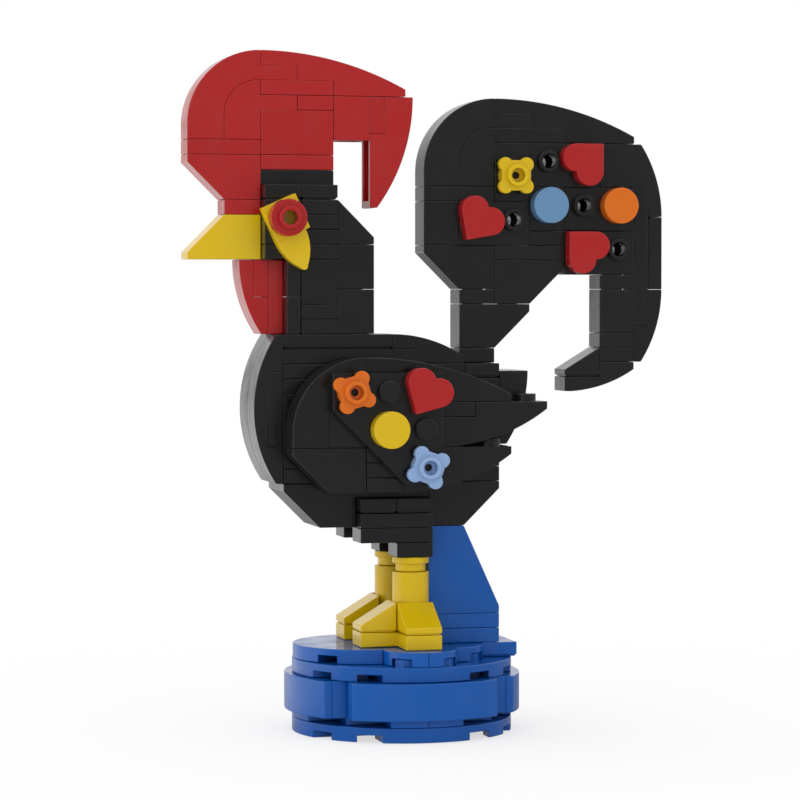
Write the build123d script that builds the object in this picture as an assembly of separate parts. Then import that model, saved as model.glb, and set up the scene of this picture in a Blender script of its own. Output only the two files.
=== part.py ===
from build123d import *
import math
import os

# Building system, mm. X runs from beak to tail, Z is up, the left side is -Y.
PITCH = 8.0                  # from one stud to the next
PLATE = 2 * PITCH / 5        # five plates are as tall as two studs are wide
BRICK = 3 * PLATE
HALF = PITCH / 2
LIP = PLATE / 2              # thin edge of slopes and curves
STUD_TALL = PLATE / 2
STUD_R = 2.4
STUD_BORE_R = 1.55           # of an open stud
STUD_SIDES = 6               # flat sides of a stud or socket that another piece covers
ROUND_SIDES = 20             # flat sides of a small round form in view
PLAY = 0.035                 # air left on each side of a piece, which makes the seams
STUD_AIR = 0.05              # round a stud in its socket
STUD_END_AIR = 0.1           # above a stud in its socket
ROOF = 1.2                   # of a hollow plate or brick
GROOVE = 0.3                 # depth of the seam round a tile's or jumper's foot
GROOVE_TALL = 0.4

# Round pieces
ROUND_R = HALF - PLAY        # round brick, and the disc of a round plate
FLANGE = 1.4                 # thickness of a round plate's disc
NECK_R = 3.25                # under that disc
ARCH_CORNER = 7.4            # inner corner of a half arch

# Turning trim on the side studs
SEAT_AIR = 0.05              # behind a piece that turns
DISC_INSET = 0.05            # from a disc's edge to its cell's
HEART_SIDE = 6.15
HEART_TIP = 5.5              # from the stud's axis
FLOWER_HALF = 3.3            # from the stud's axis to a flower's straight edge
PETAL_R = 1.6
PETAL_OUT = 2.36             # from the stud's axis to a petal's, along X and along Y
PETAL_SIDES = 14
BORE_DEEP = 2.0              # of a flower's open stud
EYELET_R = 0.8               # hole in the floor of that bore
TOOTH_LONG = 11.8            # from the stud's axis to the tip
TOOTH_SHOULDER = 11.2        # from the stud's axis to where the tip's round starts
TOOTH_HALF = 3.5             # half its width at the plate
TOOTH_TIP_HALF = 0.75        # and at the shoulder
TOOTH_STEP = 0.4             # from the plate's face down to the tooth's

# Where the assembly stands
BASE_R = 3 * PITCH
LEG_Y = PITCH                # from the middle plane to a leg's axis
BODY_X = -3.5 * PITCH        # front end of the body's bricks
BODY_END = 2.5 * PITCH       # and their rear end
WING_DROP = PLATE / 2        # wings stand that much lower than the body's courses

SOCKET_R = STUD_R + STUD_AIR
SOCKET_DEEP = STUD_TALL + STUD_END_AIR
RIM = HALF - SOCKET_R        # from a cell's edge to its socket
SIDE_STUD = BRICK - HALF     # height of a side stud above its brick's bottom
LEAF = PLATE / 2             # upright leaf of a bracket


def box(x0, x1, y0, y1, z0, z1):
    solid = Box(x1 - x0, y1 - y0, z1 - z0, align=(Align.MIN, Align.MIN, Align.MIN))
    return Pos(x0, y0, z0) * solid


def rod(radius, tall):
    return Cylinder(radius, tall, align=(Align.CENTER, Align.CENTER, Align.MIN))


def slab(nx, ny, tall, inset=PLAY):
    return box(inset, nx * PITCH - inset, inset, ny * PITCH - inset, 0, tall)


def hollow(nx, ny, deep, i=0, j=0, z=0):
    """Room underneath for the studs of nx by ny cells, from cell (i, j)."""
    return box(i * PITCH + RIM, (i + nx) * PITCH - RIM,
               j * PITCH + RIM, (j + ny) * PITCH - RIM, z, z + deep)


def covered(radius, tall):
    """Post or socket out of view, with few flat sides."""
    return extrude(RegularPolygon(radius, STUD_SIDES), tall)


def small_round(radius, tall):
    """Round form in view, small enough for flat sides."""
    return extrude(RegularPolygon(radius, ROUND_SIDES), tall)


def post(tall, shown):
    return small_round(STUD_R, tall) if shown else covered(STUD_R, tall)


def stud(i, j, z, shown=False):
    return Pos((i + 0.5) * PITCH, (j + 0.5) * PITCH, z) * post(STUD_TALL, shown)


def block(nx, ny, tall):
    piece = slab(nx, ny, tall) - hollow(nx, ny, tall - ROOF)
    return piece + [stud(i, j, tall) for i in range(nx) for j in range(ny)]


def plate(nx, ny):
    return block(nx, ny, PLATE)


def brick(nx, ny):
    return block(nx, ny, BRICK)


def groove(nx, ny):
    """Room of the seam round the foot of a tile or small slope."""
    return slab(nx, ny, GROOVE_TALL, 0) - slab(nx, ny, GROOVE_TALL, PLAY + GROOVE)


def tile(nx, ny):
    return slab(nx, ny, PLATE) - groove(nx, ny) - hollow(nx, ny, PLATE - ROOF)


def jumper(nx, ny, spots):
    """Tile with studs at the given places, in pitches less half a pitch."""
    return tile(nx, ny) + [stud(i, j, PLATE) for i, j in spots]


def side_brick(count, shown=None):
    """Brick of one row of cells with studs on its -Y side; the one in view is round."""
    places = [Pos((i + 0.5) * PITCH, PLAY, SIDE_STUD) * Rot(90, 0, 0) for i in range(count)]
    return brick(count, 1) + [place * post(STUD_TALL + PLAY, i == shown) for i, place in enumerate(places)]


def prism(outline, ny=1):
    """Solid with the given outline in X and Z, ny pitches wide along Y."""
    face = make_face(outline)
    return Pos(0, PLAY, 0) * extrude(Plane.XZ * face, amount=2 * PLAY - ny * PITCH)


def falling_arc(x0, x1, z0, z1):
    """Arc that starts level at (x0, z0) and falls to (x1, z1)."""
    run = x1 - x0
    fall = z0 - z1
    radius = (run ** 2 + fall ** 2) / (2 * fall)
    middle = z0 - radius + math.sqrt(radius ** 2 - (run / 2) ** 2)
    return ThreePointArc((x0, z0), (x0 + run / 2, middle), (x1, z1))


def underside(steps):
    """Corners of a stepped underside, from its far end to x = 0; steps are plates up, cell by cell."""
    corners = [(len(steps) * PITCH - PLAY, steps[-1] * PLATE)]
    for i in range(len(steps) - 1, 0, -1):
        if steps[i] != steps[i - 1]:
            corners += [(i * PITCH, steps[i] * PLATE), (i * PITCH, steps[i - 1] * PLATE)]
    return corners + [(PLAY, steps[0] * PLATE)]


def sockets(steps):
    """Rooms for studs in a stepped underside, one to each run of level cells."""
    starts = [i for i in range(len(steps)) if i == 0 or steps[i] != steps[i - 1]]
    ends = starts[1:] + [len(steps)]
    return [hollow(end - start, 1, SOCKET_DEEP, start, 0, steps[start] * PLATE)
            for start, end in zip(starts, ends)]


def curve_form(steps, plates):
    """Curved slope on a stepped underside, thick at x = 0 and falling to a lip."""
    end = len(steps) * PITCH - PLAY
    foot = Polyline((end, LIP), *underside(steps), (PLAY, plates * PLATE))
    return prism(foot + falling_arc(PLAY, end, plates * PLATE, LIP))


def curve(steps, plates):
    return curve_form(steps, plates) - sockets(steps)


def double_curve(steps):
    """Curve that falls to a lip at both ends, two plates tall in the middle."""
    middle = len(steps) * HALF
    end = 2 * middle - PLAY
    fall = falling_arc(middle, end, 2 * PLATE, LIP)
    rise = mirror(fall, about=Plane.YZ).moved(Pos(2 * middle, 0, 0))
    foot = Polyline((end, LIP), *underside(steps), (PLAY, LIP))
    return prism(fall + rise + foot) - sockets(steps)


def inverted_curve(steps, plates, shown=()):
    piece = mirror(curve_form(steps, plates), about=Plane.XY)
    piece -= hollow(len(steps) - 1, 1, SOCKET_DEEP, 0, 0, -plates * PLATE)
    return piece + [stud(i, 0, -s * PLATE, i in shown) for i, s in enumerate(steps)]


def slope(nx, ny, tall, flat):
    """Slope with a flat top of the given number of cells, falling to a lip at its far end."""
    end = nx * PITCH - PLAY
    brow = [(flat * PITCH, tall)] if flat else []
    outline = Polyline((PLAY, 0), (end, 0), (end, LIP), *brow, (PLAY, tall), close=True)
    piece = prism(outline, ny) - hollow(nx, ny, SOCKET_DEEP)
    return piece + [stud(i, j, tall) for i in range(flat) for j in range(ny)]


def small_slope():
    """Slope of one cell and two plates, with a seam round its foot."""
    return slope(1, 1, 2 * PLATE, 0) - groove(1, 1)


def inverted_slope(ny):
    end = 2 * PITCH - PLAY
    outline = Polyline((PLAY, 0), (PITCH, 0), (end, BRICK - LIP), (end, BRICK), (PLAY, BRICK), close=True)
    piece = prism(outline, ny) - hollow(1, ny, SOCKET_DEEP)
    return piece + [stud(i, j, BRICK) for i in range(2) for j in range(ny)]


def arch():
    """Half arch, two cells long and six plates tall, with a ledge over a third cell."""
    edge = 2 * PITCH - PLAY
    radius = edge - PLAY
    outer = CenterArc((edge, 6 * PLATE - radius), radius, 90, 90)
    ledge = Polyline((edge, 6 * PLATE), (edge, 5 * PLATE), (3 * PITCH - PLAY, 5 * PLATE),
                     (3 * PITCH - PLAY, 4 * PLATE), (PITCH + ARCH_CORNER, 4 * PLATE))
    corner = CenterArc((PITCH + ARCH_CORNER, 4 * PLATE - ARCH_CORNER), ARCH_CORNER, 90, 90)
    foot = Polyline((PITCH, 4 * PLATE - ARCH_CORNER), (PITCH, 0), (PLAY, 0), (PLAY, 6 * PLATE - radius))
    piece = prism(outer + ledge + corner + foot)
    piece -= hollow(1, 1, SOCKET_DEEP)
    piece -= hollow(1, 1, SOCKET_DEEP, 2, 0, 4 * PLATE)
    return piece + stud(2, 0, 5 * PLATE)


def arch_filler(ledge=True):
    """Inner piece of the half arch, with a ledge of its own."""
    start = PITCH + PLAY
    edge = 2 * PITCH - PLAY
    corner = CenterArc((start + ARCH_CORNER, 4 * PLATE - ARCH_CORNER), ARCH_CORNER, 90, 90)
    side = [(start + ARCH_CORNER, 4 * PLATE), (edge, 4 * PLATE)]
    if ledge:
        tip = 3 * PITCH - PLAY
        side += [(edge, 3 * PLATE), (tip, 3 * PLATE), (tip, 2 * PLATE), (edge, 2 * PLATE)]
    side += [(edge, 0), (start, 0), (start, 4 * PLATE - ARCH_CORNER)]
    piece = prism(corner + Polyline(*side)) - hollow(1, 1, SOCKET_DEEP, 1)
    if ledge:
        piece -= hollow(1, 1, SOCKET_DEEP, 2, 0, 2 * PLATE)
        piece += stud(2, 0, 3 * PLATE)
    return piece


# Placing
def lay(piece, x, y, level):
    """Studs up, with the low corner at x and y half pitches and the bottom at a plate level."""
    return Pos(x * HALF, y * HALF, level * PLATE) * piece


def turned(piece):
    """The same piece with its far end towards -X."""
    return mirror(piece, about=Plane.YZ)


def front_up(piece, x, y, z):
    """Studs to -X, length upwards, width to +Y."""
    return Plane((x, y, z), x_dir=(0, 0, 1), z_dir=(-1, 0, 0)) * piece


def front_down(piece, x, y, z):
    """Studs to -X, length downwards, width to -Y."""
    return Plane((x, y, z), x_dir=(0, 0, -1), z_dir=(-1, 0, 0)) * piece


def rear_up(piece, x, y, z):
    """Studs to +X, length upwards, width to -Y."""
    return Plane((x, y, z), x_dir=(0, 0, 1), z_dir=(1, 0, 0)) * piece


def rear_down(piece, x, y, z):
    """Studs to +X, length downwards, width to +Y."""
    return Plane((x, y, z), x_dir=(0, 0, -1), z_dir=(1, 0, 0)) * piece


def left_side(piece, x, y, z):
    """Studs to -Y, length to +X, width upwards."""
    return Plane((x, y, z), x_dir=(1, 0, 0), z_dir=(0, -1, 0)) * piece


def both_sides(pieces):
    """The pieces of the left side and their mirror images on the right."""
    return pieces + [mirror(p, about=Plane.XZ) for p in pieces]


def save(name, pieces):
    solids = [piece.solid() for piece in pieces]
    export_step(Compound(solids), f"parts/{name}.step")


def side_stud_level(level):
    """Height in mm of the side studs of a brick that stands on a plate level."""
    return level * PLATE + SIDE_STUD


# Base
def round_plate():
    cells = [(i, j) for i in range(-3, 3) for j in range(-3, 3)
             if math.hypot(i + 0.5, j + 0.5) * PITCH + STUD_R < BASE_R]
    piece = rod(BASE_R - PLAY, PLATE) - [hollow(4, 1, PLATE - ROOF, -2, j) for j in range(-2, 2)]
    slot = box(PITCH + RIM, 2 * PITCH - RIM, PITCH + RIM, BASE_R, 0, STUD_TALL)
    slots = [slot, mirror(slot, about=Plane.YZ)]
    piece -= [Rot(0, 0, 90 * k) * s for k in range(4) for s in slots]
    return piece + [stud(i, j, PLATE) for i, j in cells]


def base_spacer():
    """Thin piece under half of a bow, with its outer face on the round plate's edge."""
    tall = BRICK - PITCH
    piece = box(PLAY, PITCH - PLAY, 2 * PITCH + PLAY, BASE_R, 0, tall) & rod(BASE_R - PLAY, tall)
    return piece - hollow(1, 1, tall, 0, 2)


def quarter_tile(cells):
    """Quarter of a disc about the origin, in -X and -Y; the studs' room along its diagonal opens its rim."""
    radius = cells * PITCH - PLAY
    piece = rod(radius, PLATE) & box(-radius, -PLAY, -radius, -PLAY, 0, PLATE)
    inner = math.hypot(HALF, HALF) - SOCKET_R
    piece -= Rot(0, 0, 225) * box(inner, cells * PITCH, -SOCKET_R, SOCKET_R, 0, SOCKET_DEEP)
    return piece - [Pos(-(i + 0.5) * PITCH, -(j + 0.5) * PITCH, 0) * covered(SOCKET_R, SOCKET_DEEP)
                    for i in range(cells) for j in range(cells) if i != j]


def base():
    save("base_bottom_plate", [round_plate()])
    save("base_top_plate", [lay(round_plate(), 0, 0, 4)])
    long_brick = lay(side_brick(4), -4, -4, 1)
    short_brick = lay(side_brick(2), -2, -4, 1)
    save("base_core_bricks", [long_brick, Rot(0, 0, 180) * long_brick, Rot(0, 0, 90) * short_brick,
                              Rot(0, 0, 270) * short_brick, lay(brick(2, 2), -2, -2, 1)])
    quarters = [Rot(0, 0, 90 * k) for k in range(4)]
    foot = side_stud_level(1) - HALF
    side = left_side(plate(4, 1), -2 * PITCH, -2 * PITCH, foot)
    save("base_side_plates", [turn * side for turn in quarters])
    front = left_side(double_curve((0, 0, 0, 0)), -2 * PITCH, -2 * PITCH - PLATE, foot)
    save("base_bows", [turn * front for turn in quarters])
    pad = lay(base_spacer(), 0, 0, 1)
    pads = [pad, mirror(pad, about=Plane.YZ)]
    save("base_spacers", [turn * p for turn in quarters for p in pads])
    small = quarter_tile(1)
    save("base_round_tiles", both_sides([
        lay(quarter_tile(2), -2, 0, 5),
        lay(small, 0, -4, 5),
        lay(turned(small), 0, -4, 5),
        lay(turned(small), 2, -2, 5)]))
    save("base_jumpers", both_sides([
        lay(jumper(2, 2, [(0.5, 0.5)]), -2, -4, 5),
        lay(jumper(2, 1, [(0.5, 0)]), 2, -2, 5)]))


def support():
    save("support_plates", [lay(plate(2, 2), 1, -2, level) for level in (6, 7)])
    save("support_slope", [lay(slope(2, 2, 2 * BRICK, 1), 1, -2, 8)])


# Legs
def foot_plate():
    piece = slab(2, 1, PLATE) + Pos(PITCH, -PITCH, 0) * slab(1, 2, PLATE)
    piece -= [hollow(2, 1, PLATE - ROOF), hollow(1, 2, PLATE - ROOF, 1, -1)]
    return piece + [stud(i, j, PLATE) for i, j in ((0, 0), (1, 0), (1, -1))]


def leg_plate(level):
    """Round plate of one cell, with a disc on a narrower neck."""
    neck = PLATE - FLANGE
    piece = small_round(NECK_R, neck) + Pos(0, 0, neck) * small_round(ROUND_R, FLANGE)
    return lay(leg_fit(piece, PLATE), 0, -LEG_Y / HALF, level)


def leg_brick(level):
    return lay(leg_fit(small_round(ROUND_R, BRICK), BRICK), 0, -LEG_Y / HALF, level)


def leg_fit(piece, tall):
    """The round piece with its stud and its socket."""
    return piece + Pos(0, 0, tall) * covered(STUD_R, STUD_TALL) - covered(SOCKET_R, SOCKET_DEEP)


def legs():
    outer = -LEG_Y / HALF - 1
    save("foot_plates", both_sides([lay(foot_plate(), -3, outer, 6)]))
    toe = small_slope()
    side_toe = Rot(0, 0, -90) * toe
    save("toe_slopes", both_sides([lay(turned(toe), -1, outer, 7), lay(side_toe, -1, outer, 7)]))
    save("leg_rounds", both_sides([leg_plate(7), leg_brick(8), leg_plate(11)]))
    save("thigh_plates", [lay(plate(2, 3), -3, outer, 14)] + both_sides([
        lay(plate(1, 1), -1, outer, 12), lay(plate(2, 1), -3, outer, 13)]))
    hip = jumper(1, 3, [(0, 0.5), (0, 1.5)])
    save("hip_jumpers", [lay(hip, x, outer, 15) for x in (-3, -1)])


# Body
def bracket():
    """Plate of two cells with a thin leaf hanging in front, which has side studs."""
    leaf = box(PLAY, 2 * PITCH - PLAY, -LEAF, PLAY, PLATE - PITCH, PLATE)
    places = [Pos((i + 0.5) * PITCH, -LEAF, PLATE - HALF) * Rot(90, 0, 0) for i in range(2)]
    return plate(2, 1) + leaf + [place * covered(STUD_R, STUD_TALL) for place in places]


def end_brick():
    """Brick of two cells across the body, with its side studs to -X, low corner at the origin."""
    return Rot(0, 0, -90) * side_brick(2)


def body():
    front = BODY_X / HALF
    rear = BODY_END / HALF
    save("belly_slopes", [lay(turned(inverted_slope(2)), -3, -2, 14), lay(inverted_slope(2), 1, -2, 14)])
    save("body_plates", [lay(plate(6, 2), front, -2, level) for level in (17, 18, 22, 23)]
         + [lay(plate(2, 2), -3, -2, level) for level in (16, 19, 20)]
         + [lay(plate(4, 2), front, -2, level) for level in (24, 25)]
         + [lay(plate(1, 2), 1, -2, 24)])
    rear_brick = Rot(0, 0, 180) * end_brick()
    save("body_bricks", [lay(end_brick(), front, 2, 19), lay(rear_brick, rear, -2, 19),
                         lay(brick(1, 2), -5, -2, 19), lay(brick(1, 2), 1, -2, 19)])
    save("wing_brackets", both_sides([lay(bracket(), -3, -2, 21)]))
    back = jumper(3, 1, [(0.5, 0), (1.5, 0)])
    save("back_jumpers", both_sides([lay(back, front, -2, 26)])
         + [lay(jumper(1, 2, [(0, 0.5)]), 3, -2, 24)])

    small = curve((1, 0), 2)
    breast = double_curve((0, 1, 1, 0))
    middle = side_stud_level(19) + HALF
    top = middle + PITCH
    save("breast_plates", [front_up(plate(2, 2), BODY_X, -PITCH, middle - PITCH),
                           rear_down(plate(1, 2), BODY_END, -PITCH, top)])
    save("body_curves", [lay(small, -1, y, 25) for y in (-2, 0)]
         + [front_up(breast, BODY_X, y, middle - 2 * PITCH) for y in (-PITCH, 0)]
         + [rear_down(small, BODY_END, y, top) for y in (-PITCH, 0)])


# Neck and head
def neck():
    save("neck_bricks", [lay(end_brick(), -6, 2, 29), lay(brick(1, 2), -4, -2, 27),
                         lay(brick(1, 2), -4, -2, 30), lay(slope(1, 2, BRICK, 0), -4, -2, 33)]
         + both_sides([lay(side_brick(1), -8, -2, 33)]))
    save("neck_plates", [lay(plate(1, 2), -6, -2, level) for level in (27, 28, 33, 34, 35)]
         + [lay(plate(2, 2), -8, -2, 32), lay(plate(2, 1), -8, -1, 37)])
    across = jumper(1, 2, [(0, 0.5)])
    throat = side_stud_level(29) - HALF
    save("neck_jumpers", [lay(across, x, -2, 36) for x in (-8, -6)]
         + [front_up(across, -6 * HALF, -PITCH, throat - k * PITCH) for k in range(2)])
    save("beak", [lay(turned(slope(2, 1, BRICK, 1)), -8, -1, 32)])


def wattle():
    back = -6 * HALF - PLATE
    top = side_stud_level(29) + HALF
    save("wattle_pieces", [front_down(plate(2, 1), back, HALF, top),
                           front_down(curve((1, 0), 2), back - PLATE, HALF, top),
                           front_down(plate(1, 1), back - PLATE, HALF, top)])


def comb():
    hook = turned(inverted_slope(1))
    knob = Rot(0, 0, 90) * side_brick(1)
    save("comb_bricks", [lay(arch(), -12, -1, 40), lay(arch_filler(), -12, -1, 40), lay(hook, -8, -1, 36),
                         lay(brick(2, 1), -8, -1, 39), lay(knob, -2, -1, 40)])
    root = -2 * HALF
    top = side_stud_level(40) + HALF
    save("comb_plates", [lay(plate(1, 1), -10, -1, 35), lay(plate(2, 1), -12, -1, 39),
                         lay(plate(2, 1), -8, -1, 38), lay(plate(2, 1), -8, -1, 43),
                         lay(plate(1, 1), -6, -1, 42), rear_down(plate(1, 1), root, -HALF, top)])
    save("comb_curves", [lay(curve((2, 1, 0, 0), 3), -8, -1, 43),
                         rear_down(curve((1, 0, 0), 3), root, -HALF, top)])


# Tail
def two_faced(nx, bare=None):
    """Brick with a stud on both sides of each cell; the bare one is bored through from side to side."""
    near = side_brick(nx, bare)
    piece = near + mirror(near, about=Plane.XZ).moved(Pos(0, PITCH, 0))
    if bare is None:
        return piece
    through = small_round(STUD_BORE_R, PITCH + 2 * STUD_TALL)
    return piece - Pos((bare + 0.5) * PITCH, PITCH + STUD_TALL, SIDE_STUD) * Rot(90, 0, 0) * through


def tail():
    corner = turned(inverted_slope(1))
    rear_knob = Rot(0, 0, 90) * side_brick(1)
    save("tail_bricks", [lay(inverted_slope(1), 3, -1, 26), lay(corner, 5, -1, 30),
                         lay(inverted_slope(1), 5, -1, 29), lay(brick(1, 1), 1, -1, 33),
                         lay(two_faced(2, 1), 3, -1, 33), lay(two_faced(1), 5, -1, 36),
                         lay(two_faced(1), 7, -1, 34), lay(two_faced(2, 0), 9, -1, 34),
                         lay(two_faced(2, 1), 9, -1, 31), lay(two_faced(2, 0), 7, -1, 37),
                         lay(brick(1, 1), 11, -1, 37), lay(arch(), 1, -1, 37),
                         lay(arch_filler(), 1, -1, 37), lay(rear_knob, 13, -1, 27),
                         lay(turned(small_slope()), 11, -1, 24)])
    rear = 13 * HALF
    low = side_stud_level(27) - HALF
    save("tail_plates", [lay(plate(1, 1), x, -1, level)
                         for x, level in ((3, 25), (3, 29), (7, 33), (11, 30), (11, 26), (11, 25))]
         + [lay(plate(2, 1), x, -1, level) for x, level in ((5, 32), (1, 36), (5, 40))]
         + [rear_up(plate(4, 1), rear, HALF, low), rear_up(tile(2, 1), rear + PLATE, HALF, low + PITCH)])
    small = curve((1, 0), 2)
    save("tail_curves", [lay(curve((2, 1, 0, 0), 3), 5, -1, 40), lay(inverted_curve((1, 0), 2), 9, -1, 25),
                         rear_up(small, rear, HALF, low + 3 * PITCH),
                         rear_down(small, rear, -HALF, low + PITCH)])


# Wings
def trim_plate():
    """Plate of three by three cells with its lower front corner cut off; two of its studs are in view."""
    far = 3 * PITCH - PLAY
    cut = 2 * PITCH
    outline = Polyline((PLAY, cut), (cut, PLAY), (far, PLAY), (far, far), (PLAY, far), close=True)
    piece = extrude(make_face(outline), PLATE) - hollow(2, 1, PLATE - ROOF, 1, 1)
    bare = ((1, 2), (2, 1))
    return piece + [stud(i, j, PLATE, (i, j) in bare) for i in range(3) for j in range(3) if i + j > 1]


def wing_core():
    """Brick of two cells with a round hole through each, for a bracket's stud and a pin."""
    piece = brick(2, 1)
    for i in range(2):
        piece -= Pos((i + 0.5) * PITCH, PITCH, HALF) * Rot(90, 0, 0) * covered(SOCKET_R, PITCH)
    return piece


def wings():
    back = -2 * HALF - LEAF
    front = back - PITCH
    y = front / HALF
    low = 17 - WING_DROP / PLATE
    middle = (low + 3) * PLATE + HALF
    pin = covered(STUD_R, PITCH - STUD_END_AIR)
    save("wing_bricks", both_sides([
        lay(turned(inverted_slope(1)), -3, y, low), lay(arch(), -7, y, low + 3),
        lay(arch_filler(False), -7, y, low + 3), lay(wing_core(), -3, y, low + 3)]
        + [left_side(pin, x * HALF, back - SOCKET_DEEP, middle) for x in (-2, 0)]))
    save("wing_plates", both_sides([
        lay(plate(1, 1), -3, y, low), lay(plate(1, 1), -3, y, low + 1), lay(plate(2, 1), -3, y, low + 2),
        lay(plate(2, 1), -3, y, low + 6), lay(plate(1, 1), 1, y, low + 5),
        left_side(trim_plate(), -5 * HALF, front, middle - 3 * HALF)]))
    feather = inverted_curve((1, 0, 0), 3, (2,))
    save("wing_curves", both_sides([
        lay(feather, -1, y, low + 3), lay(feather, 1, y, low + 6),
        lay(curve((2, 1, 0, 0), 3), -3, y, low + 6)]))


# Turning trim, each about its own stud's axis, with its back at z = 0
def turning_socket():
    """Socket whose flat sides clear the stud all round."""
    return extrude(RegularPolygon(SOCKET_R, STUD_SIDES, major_radius=False), SOCKET_DEEP)


def disc():
    return rod(HALF - DISC_INSET, PLATE) - turning_socket()


def heart():
    square = Rot(0, 0, 45) * Rectangle(HEART_SIDE, HEART_SIDE)
    lobe = HEART_SIDE / 2
    lobes = [Pos(side * lobe * math.sqrt(0.5), lobe * math.sqrt(0.5)) * Circle(lobe) for side in (-1, 1)]
    outline = Pos(0, HEART_SIDE * math.sqrt(0.5) - HEART_TIP) * (square + lobes)
    return extrude(outline, PLATE) - turning_socket()


def open_stud(piece, hole_r):
    """The piece with its socket, and an open stud on top from whose bore a hole leads to the socket."""
    top = PLATE + STUD_TALL
    piece += Pos(0, 0, PLATE) * small_round(STUD_R, STUD_TALL)
    bore = Pos(0, 0, top - BORE_DEEP) * small_round(STUD_BORE_R, BORE_DEEP)
    return piece - [turning_socket(), bore, small_round(hole_r, top)]


def flower():
    """Square with a round petal at each corner, on a round neck, under an open stud."""
    places = [(x, y) for x in (-PETAL_OUT, PETAL_OUT) for y in (-PETAL_OUT, PETAL_OUT)]
    petals = [Pos(x, y) * RegularPolygon(PETAL_R, PETAL_SIDES) for x, y in places]
    face = Rectangle(2 * FLOWER_HALF, 2 * FLOWER_HALF) + petals
    edge = Pos(0, 0, PLATE - FLANGE) * extrude(face, FLANGE)
    return open_stud(small_round(NECK_R, PLATE) + edge, EYELET_R)


def eye_tooth():
    """Plate of one cell with a pointed tooth to -Y, level with its -X side, that bows out to a round tip."""
    edge = HALF - PLAY
    side = falling_arc(edge, TOOTH_SHOULDER, TOOTH_HALF, TOOTH_TIP_HALF)
    tip = ThreePointArc((TOOTH_SHOULDER, TOOTH_TIP_HALF), (TOOTH_LONG, 0), (TOOTH_SHOULDER, -TOOTH_TIP_HALF))
    root = Polyline((edge, TOOTH_HALF), (0, TOOTH_HALF), (0, -TOOTH_HALF), (edge, -TOOTH_HALF))
    tooth = extrude(make_face(side + tip + mirror(side, about=Plane.XZ) + root), PLATE - TOOTH_STEP)
    cell = extrude(Rectangle(2 * edge, 2 * edge), PLATE)
    piece = cell + Pos(TOOTH_HALF - edge, 0) * Rot(0, 0, -90) * tooth
    return piece - turning_socket() + Pos(0, 0, PLATE) * covered(STUD_R, STUD_TALL)


def eye_ring():
    return open_stud(small_round(ROUND_R, PLATE), STUD_BORE_R)


def save_both(name, piece, x, y, z, angle=0):
    """A piece on the left side, turned about its stud, and its mirror image on the right."""
    left = left_side(Rot(0, 0, angle) * piece, x, y - SEAT_AIR, z)
    save(f"left_{name}", [left])
    save(f"right_{name}", [mirror(left, about=Plane.XZ)])


def trim():
    wing = -4 * HALF - LEAF - PLATE
    row = 20 * PLATE - WING_DROP + HALF
    save_both("wing_orange_flower", flower(), -4 * HALF, wing, row + PITCH, angle=17)
    save_both("wing_heart", heart(), 0, wing, row + PITCH, angle=-30)
    save_both("wing_disc", disc(), -2 * HALF, wing, row)
    save_both("wing_blue_flower", flower(), 0, wing, row - PITCH, angle=-19)
    save_both("tail_flower", flower(), 6 * HALF, -HALF, side_stud_level(36))
    save_both("tail_top_heart", heart(), 10 * HALF, -HALF, side_stud_level(37), angle=135)
    save_both("tail_front_heart", heart(), 4 * HALF, -HALF, side_stud_level(33), angle=-35)
    save_both("tail_low_heart", heart(), 10 * HALF, -HALF, side_stud_level(31), angle=-135)
    save_both("tail_blue_disc", disc(), 8 * HALF, -HALF, side_stud_level(34))
    save_both("tail_orange_disc", disc(), 12 * HALF, -HALF, side_stud_level(34))
    head = side_stud_level(33)
    save_both("eye_tooth", eye_tooth(), -7 * HALF, -2 * HALF, head, angle=24)
    save_both("eye_ring", eye_ring(), -7 * HALF, -2 * HALF - PLATE, head)


os.makedirs("parts", exist_ok=True)
base()
support()
legs()
body()
neck()
wattle()
comb()
tail()
wings()
trim()
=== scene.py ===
import math

import bmesh
import bpy
import numpy as np
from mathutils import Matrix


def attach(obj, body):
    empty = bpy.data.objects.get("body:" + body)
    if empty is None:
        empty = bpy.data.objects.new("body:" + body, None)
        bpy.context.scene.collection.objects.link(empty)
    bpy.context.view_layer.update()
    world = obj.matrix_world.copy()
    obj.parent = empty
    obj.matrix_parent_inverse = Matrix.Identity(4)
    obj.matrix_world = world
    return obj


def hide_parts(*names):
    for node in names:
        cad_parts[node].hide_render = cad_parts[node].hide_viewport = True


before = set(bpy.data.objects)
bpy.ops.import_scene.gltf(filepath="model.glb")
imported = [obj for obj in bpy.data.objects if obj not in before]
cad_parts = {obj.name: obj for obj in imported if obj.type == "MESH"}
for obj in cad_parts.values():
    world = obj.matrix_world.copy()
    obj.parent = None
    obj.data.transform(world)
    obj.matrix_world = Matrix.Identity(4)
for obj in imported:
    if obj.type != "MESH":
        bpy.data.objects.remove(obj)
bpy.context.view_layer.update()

# Base: a low blue drum that carries the figure, four curved bows round a core of bricks, between two
# round plates, with tiles on top. Its pieces are injection-moulded ABS, pressed together stud into
# socket, with no glue and no screws. The broad front bow is left bare.
MM = 0.001
WELD = 0.001 * MM
FLAT = math.radians(0.4)
SHARP = math.radians(28)
EDGE_ROUND = 0.18 * MM
EDGE_STEPS = 2
COURSE = 1.6 * MM
FOOT_AIR = 0.07 * MM
BATCH_SEED = 11


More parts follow.
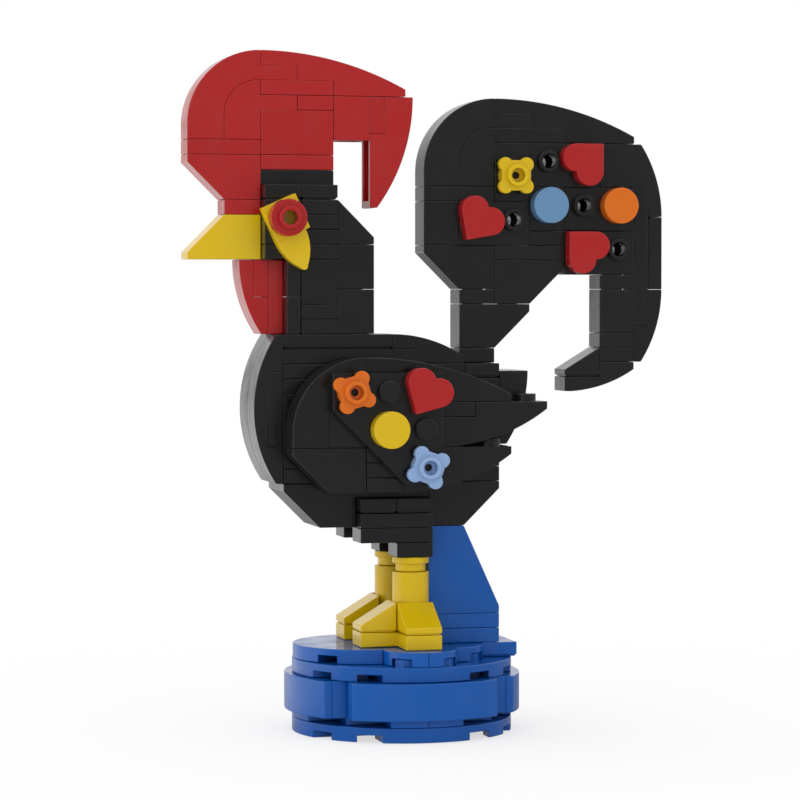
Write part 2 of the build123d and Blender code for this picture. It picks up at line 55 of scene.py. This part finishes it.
def closed_shells(triangles):
    """The number of the closed shell that each triangle belongs to, for triangles listed shell by shell.

    An edge is open while it has been walked more often one way than the other. A shell ends at the
    triangle after which no edge is open."""
    start = triangles.ravel()
    end = np.roll(triangles, -1, axis=1).ravel()
    way = np.where(start < end, 1, -1)
    edge = np.minimum(start, end) * (triangles.max() + 1) + np.maximum(start, end)
    order = np.argsort(edge, kind="stable")
    edge = edge[order]
    way = way[order]
    walked = np.cumsum(way)
    first = np.concatenate([[True], edge[1:] != edge[:-1]])
    group = np.maximum.accumulate(np.where(first, np.arange(len(edge)), 0))
    walked = walked - (walked[group] - way[group])
    opened = np.zeros(len(edge), int)
    opened[order] = (walked != 0).astype(int) - (walked - way != 0).astype(int)
    open_edges = np.cumsum(opened.reshape(-1, 3).sum(axis=1))
    ended = (open_edges == 0).astype(int)
    return np.cumsum(ended) - ended


def moulded(node, finish, body="figure", carve=None):
    """Shows a node's pieces as they leave the mould: its triangles welded shell by shell, so that pieces
    that only touch stay apart, flat faces made whole, and every outer edge rounded by a Bevel.

    The foot of a piece that stands on a course is lifted by a hair, which leaves the seam under it. Inner
    corners stay sharp, and so do the edges of trim that face the figure."""
    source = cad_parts[node].data
    source.calc_loop_triangles()
    corners = np.zeros(len(source.loop_triangles) * 3, np.int32)
    source.loop_triangles.foreach_get("vertices", corners)
    places = np.zeros(len(source.vertices) * 3)
    source.vertices.foreach_get("co", places)
    places = places.reshape(-1, 3)
    grid = np.round(places / WELD).astype(np.int64)
    same_place = np.unique(grid, axis=0, return_inverse=True)[1].ravel()
    triangles = same_place[corners].reshape(-1, 3)
    shell = closed_shells(triangles)
    corner_key = np.repeat(shell, 3) * (triangles.max() + 1) + triangles.ravel()
    kept, welded = np.unique(corner_key, return_index=True, return_inverse=True)[1:]
    points = places[corners[kept]]
    shell_of = np.repeat(shell, 3)[kept]
    foot = np.full(shell.max() + 1, np.inf)
    np.minimum.at(foot, shell_of, points[:, 2])
    courses = foot / COURSE
    stands = (foot > WELD) & (np.abs(courses - np.round(courses)) * COURSE < WELD)
    at_foot = stands[shell_of] & (points[:, 2] < foot[shell_of] + WELD)
    points[at_foot, 2] += FOOT_AIR
    mesh = bpy.data.meshes.new(node + "_moulded")
    mesh.from_pydata(points, [], welded.reshape(-1, 3))
    tone = np.random.default_rng(BATCH_SEED + len(kept)).random(shell.max() + 1)
    batch = mesh.attributes.new("batch", "FLOAT", "POINT")
    batch.data.foreach_set("value", tone[shell_of].astype(np.float32))
    shape = bmesh.new()
    shape.from_mesh(mesh)
    bmesh.ops.dissolve_limit(shape, angle_limit=FLAT, verts=shape.verts, edges=shape.edges)
    if carve:
        carve(shape)
    rounded = shape.edges.layers.float.new("bevel_weight_edge")
    for edge in shape.edges:
        turn = edge.calc_face_angle_signed(0)
        inner = any(face.normal.y * face.calc_center_median().y < -WELD for face in edge.link_faces)
        edge[rounded] = float(turn > SHARP and (body == "figure" or not inner))
        edge.smooth = abs(turn) < SHARP or edge[rounded] > 0
    for face in shape.faces:
        face.smooth = True
    shape.to_mesh(mesh)
    shape.free()
    piece = bpy.data.objects.new(node + "_piece", mesh)
    bpy.context.scene.collection.objects.link(piece)
    rounding = piece.modifiers.new("mould_edges", "BEVEL")
    rounding.width = EDGE_ROUND
    rounding.segments = EDGE_STEPS
    rounding.limit_method = "WEIGHT"
    rounding.use_clamp_overlap = False
    rounding.harden_normals = True
    mesh.materials.append(finish["material"])
    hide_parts(node)
    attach(piece, body)


def linear(colour):
    """An sRGB hex colour in linear light, by the sRGB curve, with full alpha."""
    srgb = np.array([int(colour[i:i + 2], 16) for i in (1, 3, 5)]) / 255
    light = np.where(srgb <= 0.04045, srgb / 12.92, ((srgb + 0.055) / 1.055) ** 2.4)
    return (*light, 1.0)


def add(tree, kind, settings=None, links=None):
    """One shader node with its settings, by property or socket name, and its links, by socket name."""
    node = tree.nodes.new("ShaderNode" + kind)
    for name, value in (settings or {}).items():
        if hasattr(node, name):
            setattr(node, name, value)
    for name, value in (settings or {}).items():
        if not hasattr(node, name):
            node.inputs[name].default_value = value
    for name, output in (links or {}).items():
        tree.links.new(output, node.inputs[name])
    return node


ABS_IOR = 1.54
FLOW_MM = 14
FLOW_DETAIL = 3.0
FLOW_SHARE = 0.45
HANDLING_MM = 5
HANDLING_DETAIL = 6.0
HANDLED_FROM = 0.35
HANDLED_FULLY = 0.7
POLISHED = 0.14
HANDLED = 0.26
SINK_MM = 9
SINK_DETAIL = 1.0
SINK_DEPTH = 0.05 * MM
SINK_STRENGTH = 0.3
SKIN_MM = 0.7
SKIN_DETAIL = 2.0
SKIN_DEPTH = 0.01 * MM
SKIN_STRENGTH = 0.12


def moulded_abs(slot, deep, pale):
    """Injection-moulded ABS: dense even colour under a hard, polished skin.

    Each piece has a tone of its own, from its batch, with faint clouds where the melt flowed. Handling
    leaves duller patches, and the skin has a fine ripple and shallow sinks, which bend the gloss."""
    material = bpy.data.materials.new("moulded_abs_" + slot)
    material.use_nodes = True
    tree = material.node_tree
    tree.nodes.clear()
    place = add(tree, "TexCoord").outputs["Object"]
    batch = add(tree, "Attribute", {"attribute_name": "batch"})
    flow = add(tree, "TexNoise", {"Scale": 1 / (FLOW_MM * MM), "Detail": FLOW_DETAIL}, {"Vector": place})
    tone = add(tree, "Mix", {"data_type": "FLOAT", "Factor": FLOW_SHARE},
               {"A": batch.outputs["Fac"], "B": flow.outputs["Fac"]})
    colour = add(tree, "ValToRGB", None, {"Fac": tone.outputs[0]})
    colour.color_ramp.elements[0].color = linear(deep)
    colour.color_ramp.elements[1].color = linear(pale)
    handling = add(tree, "TexNoise", {"Scale": 1 / (HANDLING_MM * MM), "Detail": HANDLING_DETAIL},
                   {"Vector": place})
    gloss = add(tree, "MapRange", {"From Min": HANDLED_FROM, "From Max": HANDLED_FULLY,
                                   "To Min": POLISHED, "To Max": HANDLED},
                {"Value": handling.outputs["Fac"]})
    ripple = add(tree, "TexNoise", {"Scale": 1 / (SKIN_MM * MM), "Detail": SKIN_DETAIL}, {"Vector": place})
    sink = add(tree, "TexNoise", {"Scale": 1 / (SINK_MM * MM), "Detail": SINK_DETAIL}, {"Vector": place})
    sunk = add(tree, "Bump", {"Strength": SINK_STRENGTH, "Distance": SINK_DEPTH},
               {"Height": sink.outputs["Fac"]})
    skin = add(tree, "Bump", {"Strength": SKIN_STRENGTH, "Distance": SKIN_DEPTH},
               {"Height": ripple.outputs["Fac"], "Normal": sunk.outputs["Normal"]})
    shader = add(tree, "BsdfPrincipled", {"IOR": ABS_IOR},
                 {"Base Color": colour.outputs["Color"], "Roughness": gloss.outputs["Result"],
                  "Normal": skin.outputs["Normal"]})
    add(tree, "OutputMaterial", None, {"Surface": shader.outputs["BSDF"]})
    return {"material": material, "slot": slot}


blue = moulded_abs("blue", "#06509F", "#0A56AB")
for node in ("base_bottom_plate", "base_core_bricks", "base_side_plates", "base_bows", "base_spacers",
             "base_top_plate", "base_round_tiles", "base_jumpers"):
    moulded(node, blue)

# Support: a steep blue slope on two square plates behind the legs, which props up the belly.
# Moulded in the base's own blue ABS and pressed onto the base's rear jumper tiles.
for node in ("support_plates", "support_slope"):
    moulded(node, blue)

# Feet and legs: corner plates with two toe slopes each, and a round brick between round plates for a
# leg. Moulded in yellow ABS and pressed onto the base's two square jumper tiles.
yellow = moulded_abs("yellow", "#D2AF04", "#DAB708")
for node in ("foot_plates", "toe_slopes", "leg_rounds"):
    moulded(node, yellow)

# Body: plates and bricks stacked from the thighs to the back, with curved slopes on breast, back and
# rump. Moulded in black ABS; the brackets turn the studs outwards for the wings.
black = moulded_abs("black", "#161616", "#1A1A1A")
for node in ("thigh_plates", "hip_jumpers", "belly_slopes", "body_plates", "body_bricks",
             "wing_brackets", "back_jumpers", "body_curves", "breast_plates"):
    moulded(node, black)

# Neck and head: bricks and plates in black ABS, two studs wide, with a slope behind the head.
# The eye bricks have a stud on one side, and the yellow beak is a slope that hangs by its stud from the
# comb's front plate.
for node in ("neck_bricks", "neck_plates", "neck_jumpers"):
    moulded(node, black)
moulded("beak", yellow)

# Wattle and comb: plates, bricks, curves and a half arch in red ABS.
# The comb stands on the head's studs, and the wattle hangs from side studs under the beak.
red = moulded_abs("red", "#A41819", "#AC1D1E")
for node in ("wattle_pieces", "comb_bricks", "comb_plates", "comb_curves"):
    moulded(node, red)

# Tail: a tall hook of black ABS bricks, slopes and plates, rounded off by a half arch and curves.
# It stands on one stud at the rump, and the studs on both sides of six bricks carry the turning trim.
for node in ("tail_bricks", "tail_plates", "tail_curves"):
    moulded(node, black)

# Wings: a core of bricks and plates in black ABS on each side, pressed onto the brackets' studs.
# Inverted curves make the feather tips, and a cut-corner plate carries the trim.
for node in ("wing_bricks", "wing_plates", "wing_curves"):
    moulded(node, black)

# Trim: flowers, hearts and round tiles in bright ABS, each on a single stud, so each turns on it.
# The same trim is on the left and on the right.
sky_blue = moulded_abs("sky_blue", "#5F87AC", "#678FB4")
pale_blue = moulded_abs("pale_blue", "#86A3CC", "#90ABD4")
orange = moulded_abs("orange", "#D1660C", "#D96C10")
TRIM = {
    "wing_orange_flower": orange,
    "wing_heart": red,
    "wing_disc": yellow,
    "wing_blue_flower": pale_blue,
    "tail_flower": yellow,
    "tail_top_heart": red,
    "tail_front_heart": red,
    "tail_low_heart": red,
    "tail_blue_disc": sky_blue,
    "tail_orange_disc": orange,
}
SIDES = ("left", "right")
for side in SIDES:
    for trim, finish in TRIM.items():
        moulded(f"{side}_{trim}", finish, body=f"{side}_{trim}")

# Eyes: a pointed yellow plate under an open red ring, both moulded ABS on the eye brick's stud.
# Plate and ring turn together, and the plate's own stud, seen through the ring, is hollow.
BORE_RIM = 0.5 * MM
BORE_DEEP = 1.4 * MM


def hollow_stud(shape):
    """The stud's outermost face set in by its rim, then sunk to the bottom of the bore."""
    top = max(shape.faces, key=lambda face: abs(face.calc_center_median().y))
    inward = -top.normal.copy()
    bmesh.ops.inset_individual(shape, faces=[top], thickness=BORE_RIM)
    bottom = bmesh.ops.extrude_discrete_faces(shape, faces=[top])["faces"][0]
    bmesh.ops.translate(shape, verts=bottom.verts, vec=inward * BORE_DEEP)


for side in SIDES:
    moulded(f"{side}_eye_tooth", yellow, body=f"{side}_eye", carve=hollow_stud)
    moulded(f"{side}_eye_ring", red, body=f"{side}_eye")

# Floor: a broad sheet of matt white studio card that fades into the white behind it and keeps the soft
# shadow under the base. In the gloss of the pieces it shows a painted glow, not its own lit shade: painted
# shade in front of the figure, painted light to the left behind it and painted shade again to the right.
FLOOR_R = 6.0
FLOOR_DROP = 0.02 * MM
FADE_NEAR = 0.02
FADE_FAR = 0.40
GLOW_NEAR = 0.65
PAINTED_SHADE_CENTRE = (0.3, -1.5, 0.0)
DIM_REACH = 1.52
PALE_FROM = 1.57
PAINTED_SHADE_LEVEL = 0.29
PAINTED_LIGHT_LEFT = 0.95
PAINTED_SHADE_RIGHT = 0.28
LEFT_END = -0.06


def round_sheet(name, radius, height, rings=24, spokes=64):
    """A flat disc: radius times the square of the ring share, turned through a full circle."""
    share = (np.arange(1, rings + 1) / rings) ** 2
    angle = np.arange(spokes) / spokes * 2 * np.pi
    x = np.outer(share, np.cos(angle)).ravel() * radius
    y = np.outer(share, np.sin(angle)).ravel() * radius
    points = np.stack([x, y, np.full_like(x, height)], axis=1)
    points = np.vstack([points, [[0, 0, height]]])
    ring, spoke = np.meshgrid(np.arange(rings - 1), np.arange(spokes), indexing="ij")
    after = (spoke + 1) % spokes
    quads = np.stack([ring * spokes + spoke, (ring + 1) * spokes + spoke, (ring + 1) * spokes + after,
                      ring * spokes + after], axis=-1).reshape(-1, 4)
    hub = np.stack([np.arange(spokes), (np.arange(spokes) + 1) % spokes,
                    np.full(spokes, rings * spokes)], axis=1)
    mesh = bpy.data.meshes.new(name)
    mesh.from_pydata(points, [], quads.tolist() + hub.tolist())
    return mesh


# Matt white card: no gloss of its own, and plain white to the eye away from the figure.
# In reflections it glows with painted light and shade instead of showing how it is lit.
card = bpy.data.materials.new("matt_white_card")
card.use_nodes = True
tree = card.node_tree
tree.nodes.clear()
place = add(tree, "TexCoord").outputs["Object"]
reach = add(tree, "VectorMath", {"operation": "LENGTH"}, {0: place})
fade = add(tree, "MapRange", {"interpolation_type": "SMOOTHSTEP", "From Min": FADE_NEAR,
                              "From Max": FADE_FAR, "To Min": GLOW_NEAR},
           {"Value": reach.outputs["Value"]})
rays = add(tree, "LightPath")
faded = add(tree, "Math", {"operation": "MULTIPLY"},
            {0: rays.outputs["Is Camera Ray"], 1: fade.outputs["Result"]})
gloss = add(tree, "Math", {"operation": "MAXIMUM"},
            {0: rays.outputs["Is Glossy Ray"], 1: rays.outputs["Is Transmission Ray"]})
matt = add(tree, "BsdfDiffuse", {"Color": linear("#F8F8F8")})
white = add(tree, "Emission", {"Color": linear("#FFFFFF"), "Strength": 1.0})
# Painted light and shade, seen only in reflections: the glow is dim round a spot in front, bright to the
# left, dim to the right.
across = add(tree, "SeparateXYZ", None, {"Vector": place})
pale = add(tree, "MapRange", {"From Min": LEFT_END, "From Max": 0.0, "To Min": PAINTED_LIGHT_LEFT,
                              "To Max": PAINTED_SHADE_RIGHT}, {"Value": across.outputs["X"]})
from_dim = add(tree, "VectorMath", {"operation": "DISTANCE"}, {0: place})
from_dim.inputs[1].default_value = PAINTED_SHADE_CENTRE
level = add(tree, "MapRange", {"From Min": DIM_REACH, "From Max": PALE_FROM, "To Min": PAINTED_SHADE_LEVEL},
            {"Value": from_dim.outputs["Value"], "To Max": pale.outputs["Result"]})
mirrored = add(tree, "Emission", {"Color": linear("#FFFFFF")}, {"Strength": level.outputs["Result"]})
mixed = add(tree, "MixShader", None, {0: faded.outputs[0], 1: matt.outputs[0], 2: white.outputs[0]})
mixed = add(tree, "MixShader", None, {0: gloss.outputs[0], 1: mixed.outputs[0], 2: mirrored.outputs[0]})
add(tree, "OutputMaterial", None, {"Surface": mixed.outputs[0]})
floor = bpy.data.objects.new("floor", round_sheet("floor", FLOOR_R, -FLOOR_DROP))
bpy.context.scene.collection.objects.link(floor)
floor.data.materials.append(card)

# Light: a plain white room, brighter to the left. In the gloss of the pieces its front is dim, so that
# their faces stay deep, while the rounded edges catch the side walls, the ceiling and the white screen
# that stands straight behind the figure.
LEFT_LIGHT = 1.42
RIGHT_LIGHT = 0.74
FRONT_WALL = 0.27
SIDE_WALL = 1.0
BACK_WALL = 0.46
WALLS = ((0.0, FRONT_WALL), (0.02, FRONT_WALL), (0.2, SIDE_WALL), (0.8, SIDE_WALL), (1.0, BACK_WALL))
CEILING_LOW = 0.12
CEILING_HIGH = 0.5
BEHIND = (0.24, 0.97, 0.0)
SCREEN_EDGE = 0.865
SCREEN_FULL = 0.9
SCREEN_WHITE = 0.94
world = bpy.data.worlds.new("white_room")
bpy.context.scene.world = world
world.use_nodes = True
tree = world.node_tree
tree.nodes.clear()
rays = add(tree, "LightPath")
gloss = add(tree, "Math", {"operation": "MAXIMUM"},
            {0: rays.outputs["Is Glossy Ray"], 1: rays.outputs["Is Transmission Ray"]})
towards = add(tree, "TexCoord").outputs["Generated"]
away = add(tree, "SeparateXYZ", None, {"Vector": towards})
brightness = add(tree, "MapRange", {"From Min": -1.0, "From Max": 1.0, "To Min": LEFT_LIGHT,
                                    "To Max": RIGHT_LIGHT}, {"Value": away.outputs["X"]})
room = add(tree, "Background", {"Color": linear("#FFFFFF")}, {"Strength": brightness.outputs["Result"]})
depth = add(tree, "MapRange", {"From Min": -1.0, "From Max": 1.0}, {"Value": away.outputs["Y"]})
walls = add(tree, "ValToRGB", None, {"Fac": depth.outputs["Result"]})
walls.color_ramp.interpolation = "EASE"
stops = walls.color_ramp.elements
while len(stops) < len(WALLS):
    stops.new(0.5)
for stop, (share, wall) in zip(stops, WALLS):
    stop.position = share
    stop.color = (wall, wall, wall, 1.0)
ceiling = add(tree, "MapRange", {"From Min": CEILING_LOW, "From Max": CEILING_HIGH},
              {"Value": away.outputs["Z"]})
straight = add(tree, "VectorMath", {"operation": "DOT_PRODUCT"}, {0: towards})
straight.inputs[1].default_value = BEHIND
screen = add(tree, "MapRange", {"From Min": SCREEN_EDGE, "From Max": SCREEN_FULL,
                                "To Max": SCREEN_WHITE}, {"Value": straight.outputs["Value"]})
lit = add(tree, "Math", {"operation": "MAXIMUM"},
          {0: walls.outputs["Color"], 1: ceiling.outputs["Result"]})
lit = add(tree, "Math", {"operation": "MAXIMUM"}, {0: lit.outputs[0], 1: screen.outputs["Result"]})
mirrored = add(tree, "Background", {"Strength": 1.0}, {"Color": lit.outputs[0]})
backdrop = add(tree, "Background", {"Color": linear("#FFFFFF"), "Strength": 1.0})
mixed = add(tree, "MixShader", None, {0: gloss.outputs[0], 1: room.outputs[0], 2: mirrored.outputs[0]})
mixed = add(tree, "MixShader", None,
            {0: rays.outputs["Is Camera Ray"], 1: mixed.outputs[0], 2: backdrop.outputs[0]})
add(tree, "OutputWorld", None, {"Surface": mixed.outputs[0]})

# Camera: at the photograph's place, a little above the middle of the figure and to its left front.
# Its lens is set so that 800 pixels span the photograph's width.
VIEW_YAW = math.radians(14.107)
VIEW_PITCH = math.radians(2.008)
VIEW_PLACE = (-0.1672377, -0.6641905, 0.0959058)
FOCUS_PX = 3140.28
FRAME_PX = 800
camera_data = bpy.data.cameras.new("photo_camera")
camera_data.lens = camera_data.sensor_width * FOCUS_PX / FRAME_PX
camera = bpy.data.objects.new("photo_camera", camera_data)
bpy.context.scene.collection.objects.link(camera)
camera.location = VIEW_PLACE
camera.rotation_euler = (math.pi / 2 - VIEW_PITCH, 0, -VIEW_YAW)
bpy.context.scene.camera = camera
bpy.context.scene.view_settings.view_transform = "Standard"
